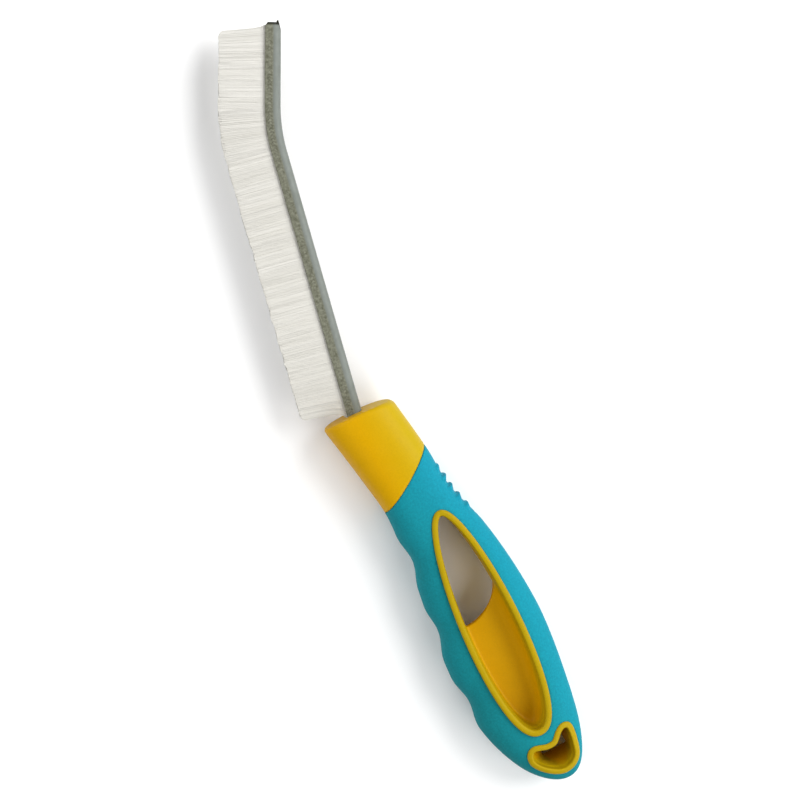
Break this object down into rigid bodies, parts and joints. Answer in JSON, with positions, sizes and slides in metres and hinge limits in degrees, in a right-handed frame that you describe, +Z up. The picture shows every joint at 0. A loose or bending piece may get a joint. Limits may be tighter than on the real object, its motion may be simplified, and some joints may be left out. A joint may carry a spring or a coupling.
{
  "type": "crevice brush",
  "caption": "Bent crevice brush: a long narrow row of nylon filaments held in a folded steel strip, set in a soft-grip moulded handle with a window and a hang hole.",
  "frame": {"origin": "bottom centre of the whole brush's box, on the surface it lies on", "axes": "+X along the handle from the butt towards the brush tip, +Y towards the bristle side, +Z up through the handle's thickness; the brush lies on its side"},
  "size_m": [0.2657, 0.0534, 0.02],
  "materials": {
    "core_plastic": "satin injection-moulded plastic",
    "sleeve_rubber": "fine sandblasted soft rubber",
    "strip_steel": "dull galvanised sheet",
    "wire_steel": "drawn",
    "nylon": "satin crimped filaments"
  },
  "bodies": {
    "root": {"handle_core": "core_plastic", "grip_sleeve": "sleeve_rubber", "channel_strip": "strip_steel", "core_wire": "wire_steel", "bristle_fill": "nylon"}
  },
  "joints": []
}
